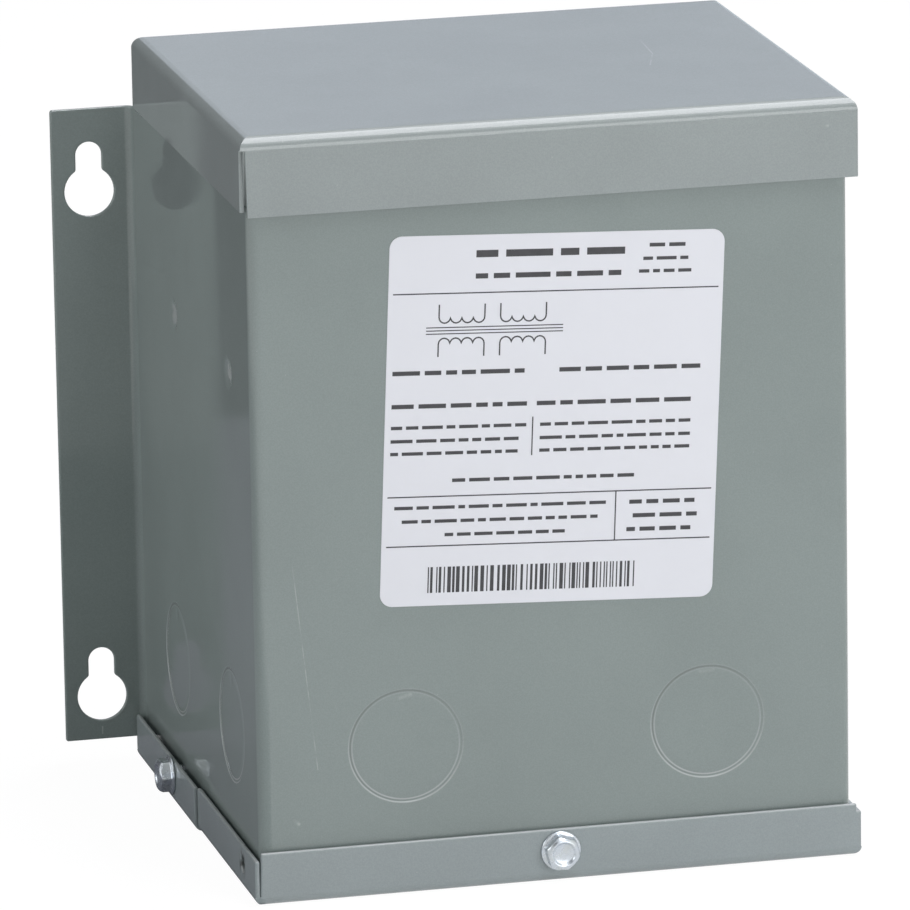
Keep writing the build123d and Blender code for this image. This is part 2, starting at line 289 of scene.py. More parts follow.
class StageSettings(bpy.types.PropertyGroup):
    """Floor, lamps and camera."""
    floor_colour: FloatVectorProperty(
        name="Floor", description="Colour of the pale floor", default=(0.92, 0.92, 0.92), subtype="COLOR", **RGB)
    floor_size: FloatProperty(name="Floor size", description="Side of the floor", default=8.0, unit="LENGTH")
    floor_white: FloatProperty(
        name="Floor white", description="Plain white of the floor as it is seen",
        default=0.96, subtype="FACTOR", **SHARE)
    floor_shade: FloatProperty(
        name="Floor shade", description="How strongly the floor as it is seen shows light and shadow",
        default=0.08, subtype="FACTOR", **SHARE)
    ambient: FloatProperty(name="Ambient", description="Even light from all round", default=0.25, min=0.0)
    key_power: FloatProperty(
        name="Key lamp", description="Soft lamp in front, to the right", default=3.75, unit="POWER")
    top_power: FloatProperty(name="Top lamp", description="Long lamp overhead", default=15.5, unit="POWER")
    fill_power: FloatProperty(name="Fill lamp", description="Lamp at the left", default=8.0, unit="POWER")
    camera_place: FloatVectorProperty(
        name="Camera", description="Place of the camera", subtype="TRANSLATION", size=3,
        default=(-0.554989, -2.278635, 0.692376))
    camera_turn: FloatVectorProperty(
        name="Camera turn", description="Rotation of the camera", subtype="EULER", size=3,
        default=tuple(math.radians(a) for a in (75.67058, 0.89299, -13.70229)))
    lens: FloatProperty(name="Lens", description="Focal length in millimetres", default=376.145, unit="CAMERA")


# ---- node helpers

def feed(tree, socket, value):
    """Links another socket to this one, or sets its own value."""
    if isinstance(value, bpy.types.NodeSocket):
        tree.links.new(value, socket)
    elif socket.type == "RGBA":
        socket.default_value = (*value[:3], 1.0)
    else:
        socket.default_value = value


def feed_all(tree, made, inputs):
    """Feeds inputs of a node by their names or places."""
    for key, value in inputs.items():
        feed(tree, made.inputs[key], value)


def node(tree, kind, inputs=None, **settings):
    """A new node with its settings, its inputs set or linked."""
    made = tree.nodes.new(kind)
    for key, value in settings.items():
        setattr(made, key, value)
    feed_all(tree, made, inputs or {})
    return made


def maths(tree, operation, *values, clamp=False):
    """The result of a math node."""
    return node(tree, "ShaderNodeMath", dict(enumerate(values)), operation=operation, use_clamp=clamp).outputs[0]


def times(tree, first, second):
    """Two values multiplied."""
    return maths(tree, "MULTIPLY", first, second)


def vector_maths(tree, operation, *values):
    """The result of a vector math node."""
    made = node(tree, "ShaderNodeVectorMath", dict(enumerate(values)), operation=operation)
    return made.outputs["Value" if operation in ("DOT_PRODUCT", "LENGTH") else "Vector"]


def spread(tree, value, low, high, to_low, to_high):
    """A value moved smoothly from one range to another, held at its ends."""
    inputs = dict(enumerate((value, low, high, to_low, to_high)))
    return node(tree, "ShaderNodeMapRange", inputs, interpolation_type="SMOOTHSTEP").outputs[0]


def mixed(tree, factor, first, second):
    """Two colours mixed by a factor."""
    return node(tree, "ShaderNodeMix", {0: factor, 6: first, 7: second}, data_type="RGBA").outputs[2]


def knockout_circle(side, name):
    """Middle of a knockout on the outer face of the sheet, and its radius."""
    low, high = (Vector(c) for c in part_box(name))
    middle = (low + high) / 2
    radius = (high.x - low.x if side == "front" else high.y - low.y) / 2
    face = {"front": (middle.x, low.y), "left": (low.x, middle.y), "right": (high.x, middle.y)}[side]
    return Vector((*face, low.z + radius)), radius


def shade(colour, factor):
    """A colour made darker or lighter."""
    return tuple(min(1.0, c * factor) for c in colour)


def effect(tree, name, output, build, points, values):
    """A shader node group placed in a material. It is made once, with an input for each point and each value."""
    group = bpy.data.node_groups.get(name)
    if group is None:
        group = bpy.data.node_groups.new(name, "ShaderNodeTree")
        for given, kind in ((points, "NodeSocketVector"), (values, "NodeSocketFloat")):
            for socket in given:
                group.interface.new_socket(name=socket, in_out="INPUT", socket_type=kind)
        group.interface.new_socket(name=output, in_out="OUTPUT", socket_type="NodeSocketFloat")
        made = build(group, group.nodes.new("NodeGroupInput").outputs)
        group.links.new(made, group.nodes.new("NodeGroupOutput").inputs[output])
    return node(tree, "ShaderNodeGroup", {**points, **values}, node_tree=group).outputs[output]


def noise(tree, position, size, detail, roughness):
    """Cloudy noise with features of one size."""
    return node(tree, "ShaderNodeTexNoise", {
        "Vector": position, "Scale": maths(tree, "DIVIDE", 1.0, size), "Detail": detail,
        "Roughness": roughness}).outputs[0]


def ripples(tree, position, size):
    """Fine ripples, as of sprayed paint, film or casting."""
    def build(group, given):
        return noise(group, given["Position"], given["Size"], 2.0, 0.45)
    return effect(tree, "Ripple", "Height", build, {"Position": position}, {"Size": size})


def mottle(tree, position, size):
    """Soft cloudy change from place to place, from 0 to 1."""
    def build(group, given):
        return spread(group, noise(group, given["Position"], given["Size"], 3.0, 0.55), 0.3, 0.7, 0.0, 1.0)
    return effect(tree, "Mottle", "Value", build, {"Position": position}, {"Size": size})


def specks(tree, position, spacing, share, radius):
    """Scattered specks of dust, each in a cell of its own."""
    smallest, core = 0.4, 0.5

    def build(group, given):
        cells = node(group, "ShaderNodeTexVoronoi", {
            "Vector": given["Position"], "Scale": maths(group, "DIVIDE", 1.0, given["Spacing"])})
        draw = node(group, "ShaderNodeSeparateColor", {"Color": cells.outputs["Color"]})
        chosen = maths(group, "LESS_THAN", draw.outputs[0], given["Share"])
        size = times(group, maths(group, "DIVIDE", given["Radius"], given["Spacing"]),
                     maths(group, "ADD", smallest, draw.outputs[1]))
        near = spread(group, cells.outputs["Distance"], times(group, size, core), size, 1.0, 0.0)
        return times(group, near, chosen)
    return effect(tree, "Specks", "Mask", build, {"Position": position},
                  {"Spacing": spacing, "Share": share, "Radius": radius})


def mark(tree, position, start, end, half_width):
    """A broken line between two points, which come in millimetres, as does its half width."""
    break_scale = 260.0

    def build(group, given):
        way = vector_maths(group, "SUBTRACT", given["End"], given["Start"])
        here = vector_maths(group, "SUBTRACT", given["Position"], given["Start"])
        along = maths(group, "DIVIDE", vector_maths(group, "DOT_PRODUCT", here, way),
                      vector_maths(group, "DOT_PRODUCT", way, way), clamp=True)
        reached = node(group, "ShaderNodeVectorMath", {0: way, "Scale": along}, operation="SCALE").outputs[0]
        off = vector_maths(group, "LENGTH", vector_maths(group, "SUBTRACT", here, reached))
        line = spread(group, off, 0.0, given["Half width"], 1.0, 0.0)
        breaks = node(group, "ShaderNodeTexNoise", {
            "Vector": given["Position"], "Scale": break_scale, "Detail": 3.0}).outputs[0]
        return times(group, line, spread(group, breaks, 0.38, 0.62, 0.15, 1.0))
    ends = {"Start": [c * MM for c in start], "End": [c * MM for c in end]}
    return effect(tree, "Scratch", "Mask", build, {"Position": position, **ends}, {"Half width": half_width * MM})


def spot(tree, position, middle, radius):
    """A round mark, in millimetres."""
    return mark(tree, position, middle, (middle[0], middle[1], middle[2] + SPOT_LENGTH), radius)


def rims(tree, position, centre, radius, toward, offset, half_width):
    """Fine lines on either side of a circle, or one line on it, strongest on one side of it."""
    weakest = 0.25

    def build(group, given):
        here = vector_maths(group, "SUBTRACT", given["Position"], given["Centre"])
        out = maths(group, "SUBTRACT", vector_maths(group, "LENGTH", here), given["Radius"])
        off = maths(group, "ABSOLUTE", maths(group, "SUBTRACT", maths(group, "ABSOLUTE", out), given["Offset"]))
        line = spread(group, off, 0.0, given["Half width"], 1.0, 0.0)
        reach = vector_maths(group, "DOT_PRODUCT", here, given["Toward"])
        lean = maths(group, "DIVIDE", reach, given["Radius"])
        return times(group, line, spread(group, lean, -0.6, 0.9, weakest, 1.0))
    return effect(tree, "Rims", "Mask", build, {"Position": position, "Centre": centre, "Toward": toward},
                  {"Radius": radius, "Offset": offset, "Half width": half_width})


def bump(tree, height, distance):
    """The normal of a surface with that height."""
    return node(tree, "ShaderNodeBump", {"Height": height, "Distance": distance, "Strength": 1.0}).outputs[0]


def new_material(name):
    """An empty node material with its shader, its tree and the surface position in the shared frame."""
    material = bpy.data.materials.new(name)
    material.use_nodes = True
    tree = material.node_tree
    tree.nodes.clear()
    shader = tree.nodes.new("ShaderNodeBsdfPrincipled")
    node(tree, "ShaderNodeOutputMaterial", {"Surface": shader.outputs[0]})
    position = tree.nodes.new("ShaderNodeTexCoord").outputs["Object"]
    return material, tree, shader, position


# ---- materials

def case_enamel(settings, name="grey_case_enamel", colour=None, rim_dust_and_highlight=0.0):
    """Grey semi-gloss enamel with orange peel, faint clouds, fine grain, dust specks, scratches and rubbed marks,
    painted shade behind the vents and in the knockout grooves, and painted highlights on the groove rims, in the
    dimples, at the front knockouts' ties and, where asked, on faces that look up.
    """
    done = bpy.data.materials.get(name)
    if done:
        return done
    cloud_size, grain_size, cloud_share = 38.0 * MM, 0.34 * MM, 0.35
    darkest, lightest, dust_strength, dust_height = 0.93, 1.07, 0.30, 0.8
    gloss_range, dulled = 0.03, 0.4
    material, tree, shader, position = new_material(name)
    clouds = mottle(tree, position, cloud_size)
    grain = mottle(tree, position, grain_size)
    dust = specks(tree, position, spacing=3.4 * MM, share=0.22, radius=0.20 * MM)
    change = maths(tree, "ADD", times(tree, clouds, cloud_share), times(tree, grain, 1.0 - cloud_share))
    colour = colour or settings.colour
    enamel = mixed(tree, change, shade(colour, darkest), shade(colour, lightest))
    # Painted shade behind the vents of the base
    for middle, radius in VENT_SHADE:
        dark = spread(tree, spot(tree, position, middle, radius), 0.0, 0.5, 0.0, 1.0)
        enamel = mixed(tree, dark, enamel, settings.painted_shade_colour)
    light = [times(tree, dust, dust_strength)]
    for *place, strength in SCRATCHES_AND_HIGHLIGHTS:
        light.append(times(tree, mark(tree, position, *place), strength))
    # Rubbed paint and painted highlights in the dimples of the sides
    for *place, strength in DIMPLE_RUB_AND_HIGHLIGHT:
        light.append(spread(tree, spot(tree, position, *place), 0.0, 0.6, 0.0, strength))
    # Painted shade in each knockout's groove, and painted highlights on its rims
    for side, names in KNOCKOUTS.items():
        for knockout in names:
            circle = knockout_circle(side, knockout)
            dark = times(tree, rims(tree, position, *circle, **GROOVE_SHADE), settings.groove_shade_strength)
            enamel = mixed(tree, dark, enamel, settings.painted_shade_colour)
            light.append(times(tree, rims(tree, position, *circle, **GROOVE_RIM_HIGHLIGHTS), settings.rim_dust_and_highlight))
    # Dust and a painted highlight on faces that look up
    if rim_dust_and_highlight:
        normal = tree.nodes.new("ShaderNodeNewGeometry").outputs["Normal"]
        up = node(tree, "ShaderNodeSeparateXYZ", {"Vector": normal}).outputs["Z"]
        light.append(spread(tree, up, 0.3, 0.9, 0.0, rim_dust_and_highlight))
    marks = light[0]
    for other in light[1:]:
        marks = maths(tree, "MAXIMUM", marks, other)
    gloss = spread(tree, clouds, 0.0, 1.0, settings.roughness - gloss_range, settings.roughness + gloss_range)
    skin = maths(tree, "ADD", ripples(tree, position, settings.peel_size), times(tree, dust, dust_height))
    feed_all(tree, shader, {
        "Base Color": mixed(tree, marks, enamel, settings.dust_colour),
        "Roughness": maths(tree, "ADD", gloss, times(tree, marks, dulled)),
        "Normal": bump(tree, skin, settings.peel_height)})
    return material


def cloudy_finish(name, size, colours, roughness, ripple, dust=None, metallic=0.0):
    """A finish that changes softly between two colours and two roughnesses, with fine ripples and maybe specks."""
    material, tree, shader, position = new_material(name)
    clouds = mottle(tree, position, size)
    colour = mixed(tree, clouds, *colours)
    if dust:
        strength, dust_colour, sizes = dust
        colour = mixed(tree, times(tree, specks(tree, position, **sizes), strength), colour, dust_colour)
    ripple_size, ripple_height = ripple
    feed_all(tree, shader, {
        "Base Color": colour, "Metallic": metallic, "Roughness": spread(tree, clouds, 0.0, 1.0, *roughness),
        "Normal": bump(tree, ripples(tree, position, ripple_size), ripple_height)})
    return material


def bright_zinc(settings):
    """Bright zinc plating with a faint cloudy sheen and fine tumbling marks."""
    warm = tuple(c * f for c, f in zip(settings.zinc_colour, (0.96, 0.94, 0.88)))
    return cloudy_finish("bright_zinc", 2.4 * MM, (settings.zinc_colour, warm), roughness=(0.20, 0.32),
                         ripple=(0.35 * MM, 0.004 * MM), metallic=0.7)


def label_film(settings):
    """White plastic film, a little uneven on the steel under it."""
    colours = shade(settings.film_colour, 0.985), settings.film_colour
    sizes = {"spacing": 7.0 * MM, "share": 0.16, "radius": 0.16 * MM}
    return cloudy_finish("label_film", 22.0 * MM, colours, roughness=(0.42, 0.52),
                         ripple=(4.0 * MM, 0.012 * MM), dust=(0.35, (0.35, 0.35, 0.36), sizes))


def label_ink(settings):
    """Thermal print, a little uneven in density."""
    faded = tuple(ink + 0.03 * (film - ink) for ink, film in zip(settings.ink_colour, settings.film_colour))
    return cloudy_finish("label_ink", 2.4 * MM, (settings.ink_colour, faded), roughness=(0.45, 0.6),
                         ripple=(0.4 * MM, 0.003 * MM))


def cast_resin(settings):
    """Dark resin and sand round the core."""
    colours = shade(settings.colour, 0.8), shade(settings.colour, 1.3)
    sizes = {"spacing": 1.6 * MM, "share": 0.6, "radius": 0.5 * MM}
    return cloudy_finish("cast_resin_and_sand", 9.0 * MM, colours, roughness=(0.5, 0.75),
                         ripple=(1.2 * MM, 0.08 * MM), dust=(0.4, (0.25, 0.22, 0.17), sizes))


# ---- mesh helpers

def new_object(name, data):
    """An object in the scene."""
    made = bpy.data.objects.new(name, data)
    bpy.context.scene.collection.objects.link(made)
    return made


def new_piece(bm, name, material, sharp_angle=math.radians(35.0), weighted=True):
    """A piece of the transformer from finished mesh data: shaded, painted and riding on the case."""
    bmesh.ops.recalc_face_normals(bm, faces=bm.faces)
    for edge in bm.edges:
        edge.smooth = edge.smooth and edge.calc_face_angle(0.0) < sharp_angle
    mesh = bpy.data.meshes.new(name)
    bm.to_mesh(mesh)
    bm.free()
    mesh.materials.append(material)
    mesh.polygons.foreach_set("use_smooth", [True] * len(mesh.polygons))
    piece = new_object(name, mesh)
    if weighted:
        piece.modifiers.new("Flat faces stay flat", "WEIGHTED_NORMAL").keep_sharp = True
    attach(piece, BODY)
    return piece


def place_on(side, centre):
    """Local X to the right, Y up and Z out of that side of the case, at the given point."""
    out = OUTWARD[side]
    right = UP.cross(out)
    turn = Matrix((right, UP, out)).transposed().to_4x4()
    return Matrix.Translation(centre) @ turn


def stack(bm, rings, first=None, last=None):
    """A closed skin through rings of equal count, fanned to a point at each end."""
    rows = [[bm.verts.new(p) for p in ring] for ring in rings]
    count = len(rows[0])
    for low, high in zip(rows, rows[1:]):
        for i in range(count):
            j = (i + 1) % count
            bm.faces.new((low[i], low[j], high[j], high[i]))
    for row, point, turned in ((rows[0], first, True), (rows[-1], last, False)):
        if point is None:
            bm.faces.new(reversed(row) if turned else row)
            continue
        middle = bm.verts.new(point)
        for i in range(count):
            edge = (row[(i + 1) % count], row[i]) if turned else (row[i], row[(i + 1) % count])
            bm.faces.new((*edge, middle))


def ring(angles, radii, heights):
    """Points round an axis, with a radius and a height for each or one for all."""
    radii, heights = (v if isinstance(v, list) else [v] * len(angles) for v in (radii, heights))
    return [(r * math.cos(a), r * math.sin(a), h) for a, r, h in zip(angles, radii, heights)]


def room_across(loop):
    """Distance from the middle of a face's edge straight across that face to its next bent edge."""
    start, end = loop.vert.co, loop.link_loop_next.vert.co
    middle = (start + end) / 2
    along = (end - start).normalized()
    inward = loop.face.normal.cross(along)
    room = math.inf
    for other in loop.face.loops:
        a, b = other.vert.co - middle, other.link_loop_next.vert.co - middle
        left, right = a.dot(along), b.dot(along)
        if other is loop or left * right > 0.0 or left == right:
            continue
        if other.edge.calc_face_angle(0.0) < math.radians(1.0):
            continue
        depth = a.lerp(b, left / (left - right)).dot(inward)
        if depth > 1e-7:
            room = min(room, depth)
    return room


def is_flat(face):
    """Whether a face lies square in the frame, or nearly, and so is no facet of a bend."""
    return max(map(abs, face.normal)) > 0.9995


def is_mitre(edge):
    """Whether an edge joins the bends of two skirts that meet at a corner."""
    if any(is_flat(face) for face in edge.link_faces):
        return False
    a, b = (face.normal for face in edge.link_faces)
    return min(max(abs(a.x), abs(b.y)), max(abs(a.y), abs(b.x))) < 0.001


def rounded_sheet(node_name, radius, steps):
    """The sheet of a CAD node with its cut edges rounded, as thick paint leaves them."""
    bm = bmesh.new()
    bm.from_mesh(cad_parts[node_name].data)
    bmesh.ops.remove_doubles(bm, verts=bm.verts, dist=0.001 * MM)
    bmesh.ops.dissolve_limit(bm, angle_limit=math.radians(0.5), verts=bm.verts, edges=bm.edges)
    cut_edges = [e for e in bm.edges if e.is_convex and e.calc_face_angle(0.0) > math.radians(40.0)
                 and any(is_flat(face) for face in e.link_faces)
                 and min(room_across(loop) for loop in e.link_loops) > 2.05 * radius]
    bmesh.ops.bevel(bm, geom=cut_edges, offset=radius, offset_type="OFFSET", segments=steps, profile=0.5,
                    affect="EDGES", clamp_overlap=False)
    for edge in bm.edges:
        edge.smooth = not is_mitre(edge)
    return bm


# ---- operators

class TRANSFORMER_OT_sheets(bpy.types.Operator):
    """Rounds and paints the folded sheets of the case"""
    bl_idname = "transformer.sheets"
    bl_label = "Painted sheets"

    def execute(self, context):
        sheets = context.scene.transformer_sheets
        paint = context.scene.transformer_paint
        for name in SHEETS:
            enamel, radius = case_enamel(paint), sheets.edge_radius
            # Lighter copies of the enamel on the lid and the base covers are painted light
            if name == "top_cover":
                enamel, radius = case_enamel(paint, "grey_lid_enamel_painted_light", paint.lid_lit_colour), sheets.lid_radius
            elif name.endswith("base_cover"):
                enamel = case_enamel(paint, "grey_base_enamel_painted_light", paint.base_lit_colour, paint.rim_dust_and_highlight)
                radius = sheets.base_radius
            bm = rounded_sheet(name, radius, sheets.edge_steps)
            if any(not e.is_manifold for e in bm.edges):
                raise RuntimeError(f"the sheet {name} has an open edge")
            piece = new_piece(bm, f"painted_{name}", enamel)
            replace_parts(piece, name)
            if name == "top_cover":
                new_piece(self.corner_paint(sheets), "lid_corner_paint", enamel)
        return {"FINISHED"}

    def corner_paint(self, sheets):
        """A wedge of thick paint in the open seam at the lid's left corner, flush above and fading out below."""
        low, high = (Vector(c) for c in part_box("top_cover"))
        left, right = low.x + 0.9 * MM, low.x + 1.7 * MM
        rear, faded, flush = low.y + 1.95 * MM, low.y + 1.90 * MM, low.y + 0.40 * MM
        head = high.z - sheets.seam_head
        bm = bmesh.new()
        stack(bm, [[(left, rear, z), (right, rear, z), (right, y, z), (left, y, z)]
                   for y, z in ((faded, head - sheets.seam_paint), (flush, head))])
        return bm


class TRANSFORMER_OT_knockouts(bpy.types.Operator):
    """Makes the knockout discs with their grooves and ties"""
    bl_idname = "transformer.knockouts"
    bl_label = "Knockouts"

    clearance = 0.02 * MM
    edge_depth = 0.55 * MM
    lap_depth = 0.40 * MM
    tie_fade = 0.25 * MM
    tie_fill = 0.8
    dent_share = 0.55
    dent_reach = 3.2 * MM

    def execute(self, context):
        enamel = case_enamel(context.scene.transformer_paint)
        for side, names in KNOCKOUTS.items():
            for name in names:
                bm = self.disc(context.scene.transformer_knockouts, side, name)
                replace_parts(new_piece(bm, f"painted_{name}", enamel), name)
        return {"FINISHED"}

    def disc(self, rim, side, name):
        """A disc in its hole: back, edge, painted groove, and a face drawn in a little below the tie."""
        low, high = (Vector(c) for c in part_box(name))
        size = high - low
        centre, radius = knockout_circle(side, name)
        radius = size.z - radius - self.clearance
        sheet = size.y if side == "front" else size.x
        angles = [math.tau * i / rim.sides for i in range(rim.sides)]
        off_tie = [abs(math.atan2(math.cos(a), math.sin(a))) * radius for a in angles]
        tie = [max(0.0, min(1.0, (rim.tie_width / 2 - d) / self.tie_fade + 0.5)) for d in off_tie]
        glide = [math.exp(-(d / (self.dent_share * rim.tie_width)) ** 2) for d in off_tie]
        rows = [ring(angles, radius, -sheet), ring(angles, radius, -self.edge_depth),
                ring(angles, radius + rim.groove_lap, -self.lap_depth)]
        face_radius = radius - rim.shoulder_width
        for share in (-rim.groove_lap / rim.shoulder_width, 0.0, 0.15, 0.3, 0.45, 0.6, 0.75, 0.9, 1.0):
            sink = rim.groove_depth * (1.0 + math.cos(math.pi * max(0.0, share))) / 2
            depth = [-sink * (1.0 - self.tie_fill * t) - rim.tie_dent * g for t, g in zip(tie, glide)]
            rows.append(ring(angles, radius - rim.shoulder_width * share, depth))
        for step in range(1, 7):
            share = step / 6
            drawn = rim.tie_dent * (1.0 - share) ** 2 * (1.0 + 2.0 * share)
            rows.append(ring(angles, face_radius - self.dent_reach * share, [-drawn * g for g in glide]))
        bm = bmesh.new()
        stack(bm, rows, (0.0, 0.0, -sheet), (0.0, 0.0, 0.0))
        bm.transform(place_on(side, centre))
        return bm


class TRANSFORMER_OT_screws(bpy.types.Operator):
    """Makes the hex washer-head cover screws"""
    bl_idname = "transformer.screws"
    bl_label = "Cover screws"

    sides = 72
    chamfer = 1.25 * MM

    def execute(self, context):
        sizes = context.scene.transformer_screws
        zinc = bright_zinc(sizes)
        for side, name in SCREWS.items():
            bm = self.screw(sizes, sizes.front_turn if side == "front" else 0.0)
            low, high = (Vector(c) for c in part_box(name))
            out = OUTWARD[side]
            middle = (low + high) / 2
            reach = (high - low).dot(Vector([abs(c) for c in out])) / 2
            seat = middle + out * (reach - sizes.washer_thickness - sizes.hex_height)
            bm.transform(place_on(side, seat))
            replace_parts(new_piece(bm, f"zinc_{name}", zinc, math.radians(50.0)), name)
        return {"FINISHED"}

    def screw(self, sizes, turn):
        """A whole screw along Z, its washer seated on z = 0."""
        around = [math.tau * i / self.sides for i in range(self.sides)]
        top = sizes.washer_thickness + sizes.hex_height
        hexagon = [self.hex_radius(a - turn, sizes.hex_flats / 2) for a in around]
        rings = self.thread(sizes, around)
        washer = sizes.washer_radius
        thick = sizes.washer_thickness
        for radius, z in ((washer - 0.25 * MM, 0.0), (washer, 0.22 * MM), (washer, 0.50 * MM),
                          (washer - 0.12 * MM, 0.68 * MM), (washer - 0.34 * MM, 0.78 * MM)):
            rings.append(ring(around, radius, z))
        for grow, z in ((0.16 * MM, thick - 0.12 * MM), (0.05 * MM, thick), (0.0, thick + 0.14 * MM)):
            rings.append(ring(around, [h + grow for h in hexagon], z))
        corner = sizes.hex_flats / math.sqrt(3.0)
        rim = sizes.dish_radius + 0.45 * MM
        for share in (0.0, 0.2, 0.4, 0.6, 0.75, 0.87, 0.95, 1.0):
            limit = corner + (rim - corner) * share ** 1.7
            rings.append(ring(around, [min(h, limit) for h in hexagon], top - self.chamfer * (1.0 - share)))
        dish = sizes.dish_radius
        for radius, drop in ((dish + 0.24 * MM, 0.03 * MM), (dish + 0.08 * MM, 0.10 * MM),
                             (dish - 0.06 * MM, 0.26 * MM), (dish - 0.24 * MM, 0.48 * MM),
                             (dish - 0.60 * MM, 0.60 * MM), (dish * 0.4, 0.68 * MM)):
            rings.append(ring(around, radius, top - drop))
        bm = bmesh.new()
        stack(bm, rings, (0.0, 0.0, -sizes.shank_length), (0.0, 0.0, top - sizes.dish_depth))
        return bm

    def hex_radius(self, angle, half_flats):
        """Distance from the axis to a hexagon with slightly softened corners."""
        sector = math.pi / 3
        off = (angle % sector) - sector / 2
        soft = 0.012
        return half_flats / math.cos(off) * (1.0 - soft * (abs(off) / (sector / 2)) ** 8)

    def thread(self, sizes, around):
        """Rings of the threaded shank, from its tip up to the washer."""
        depth = 0.32 * MM
        steps = 8
        count = int(sizes.shank_length / sizes.thread_pitch * steps)
        rings = []
        for i in range(count + 1):
            z = -sizes.shank_length * (1.0 - i / count)
            tip = min(1.0, (z + sizes.shank_length) / (1.4 * MM))
            head = min(1.0, -z / (1.0 * MM))
            radii = []
            for angle in around:
                phase = (z / sizes.thread_pitch - angle / math.tau) % 1.0
                groove = abs(2.0 * phase - 1.0) * head
                radii.append((sizes.shank_radius - depth * groove) * (0.72 + 0.28 * tip))
            rings.append(ring(around, radii, z))
        return rings


class TRANSFORMER_OT_label(bpy.types.Operator):
    """Makes the label film and its plain print"""
    bl_idname = "transformer.label"
    bl_label = "Rating label"

    def execute(self, context):
        label = context.scene.transformer_label
        low, high = (Vector(c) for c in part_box("rating_label"))
        seat = Vector(((low.x + high.x) / 2, high.y, (low.z + high.z) / 2))
        place = place_on("front", seat) @ Matrix.Rotation(label.tilt, 4, "Z")
        film = bmesh.new()
        stack(film, [self.outline(label, inset, z) for inset, z in (
            (0.0, 0.0), (0.0, 0.6 * label.thickness), (0.15 * label.thickness, 0.9 * label.thickness),
            (0.5 * label.thickness, label.thickness))])
        film.transform(place)
        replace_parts(new_piece(film, "label_film", label_film(label)), "rating_label")
        ink = bmesh.new()
        self.print_on(ink, label)
        ink.transform(place)
        new_piece(ink, "label_print", label_ink(label), weighted=False)
        return {"FINISHED"}

    def outline(self, label, inset, z):
        """The label's outline with round corners, drawn in by an inset."""
        points = []
        radius = label.corner - inset
        for quarter, (sx, sy) in enumerate(((1, 1), (-1, 1), (-1, -1), (1, -1))):
            cx = sx * (label.width / 2 - label.corner)
            cy = sy * (label.height / 2 - label.corner)
            for i in range(9):
                angle = math.pi / 2 * (quarter + i / 8)
                points.append((cx + radius * math.cos(angle), cy + radius * math.sin(angle), z))
        return points

    def ribbon(self, bm, label, points, width):
        """A thin printed line along points given in millimetres from the label's upper left corner."""
        path = [Vector((u * MM - label.width / 2, label.height / 2 - v * MM)) for u, v in points]
        low = label.thickness - label.ink_height
        high = label.thickness + label.ink_height
        rows = []
        for before, here, after in zip([path[0]] + path, path, path[1:] + [path[-1]]):
            way = (after - before).normalized()
            side = Vector((-way.y, way.x)) * width * MM / 2
            left, right = here + side, here - side
            rows.append([bm.verts.new((*p, z)) for p, z in ((left, low), (right, low), (right, high), (left, high))])
        for a, b in zip(rows, rows[1:]):
            for i in range(4):
                j = (i + 1) % 4
                bm.faces.new((a[i], a[j], b[j], b[i]))
        bm.faces.new(reversed(rows[0]))
        bm.faces.new(rows[-1])

    def words(self, bm, label, u0, u1, v, tall, draw):
        """A line of plain dashes in place of small print."""
        u = u0
        while u < u1 - tall:
            end = min(u1, u + tall * draw.uniform(1.0, 3.4))
            self.ribbon(bm, label, ((u, v), (end, v)), 0.5 * tall)
            u = end + 0.55 * tall

    def winding(self, bm, label, u0, v, down):
        """A row of half-round turns with a lead at each end."""
        turns, pitch, rise, lead, width = 4, 2.9, 1.5, 3.2, 0.36
        points = [(u0, v + lead * down), (u0, v)]
        for turn in range(turns):
            for i in range(9):
                angle = math.pi * i / 8
                points.append((u0 + pitch * (turn + 0.5 - 0.5 * math.cos(angle)), v - rise * down * math.sin(angle)))
        end = u0 + pitch * turns
        points += [(end, v), (end, v + lead * down)]
        tidy = [p for i, p in enumerate(points) if i == 0 or math.dist(p, points[i - 1]) > 0.01]
        self.ribbon(bm, label, tidy, width)

    def print_on(self, bm, label):
        """All of the print: a heading, a winding sketch, lines of dashes, ruled boxes and a row of bars."""
        draw = random.Random(8)
        for v in LEVEL_RULES:
            self.ribbon(bm, label, ((RULE_INSET, v), (label.width / MM - RULE_INSET, v)), RULE_WIDTH)
        for u, top, bottom in UPRIGHT_RULES:
            self.ribbon(bm, label, ((u, top), (u, bottom)), RULE_WIDTH)
        for v, down in WINDING_ROWS:
            for u in WINDING_STARTS:
                self.winding(bm, label, u, v, down)
        for v in CORE_ROWS:
            self.ribbon(bm, label, [(u, v) for u in CORE_ENDS], CORE_WIDTH)
        for u0, u1, v, tall in DASHES:
            self.words(bm, label, u0, u1, v, tall, draw)
        u, end, top, bottom = BARS
        while u < end:
            width = draw.choice(BAR_WIDTHS)
            self.ribbon(bm, label, ((u + width / 2, top), (u + width / 2, bottom)), width)
            u += width + draw.choice(BAR_GAPS)


class TRANSFORMER_OT_core(bpy.types.Operator):
    """Gives the cast core inside the case its finish"""
    bl_idname = "transformer.core"
    bl_label = "Cast core"

    def execute(self, context):
        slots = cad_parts["potted_core"].material_slots
        if not slots:
            raise RuntimeError("the core has no material slot")
        slots[0].material = cast_resin(context.scene.transformer_core)
        return {"FINISHED"}


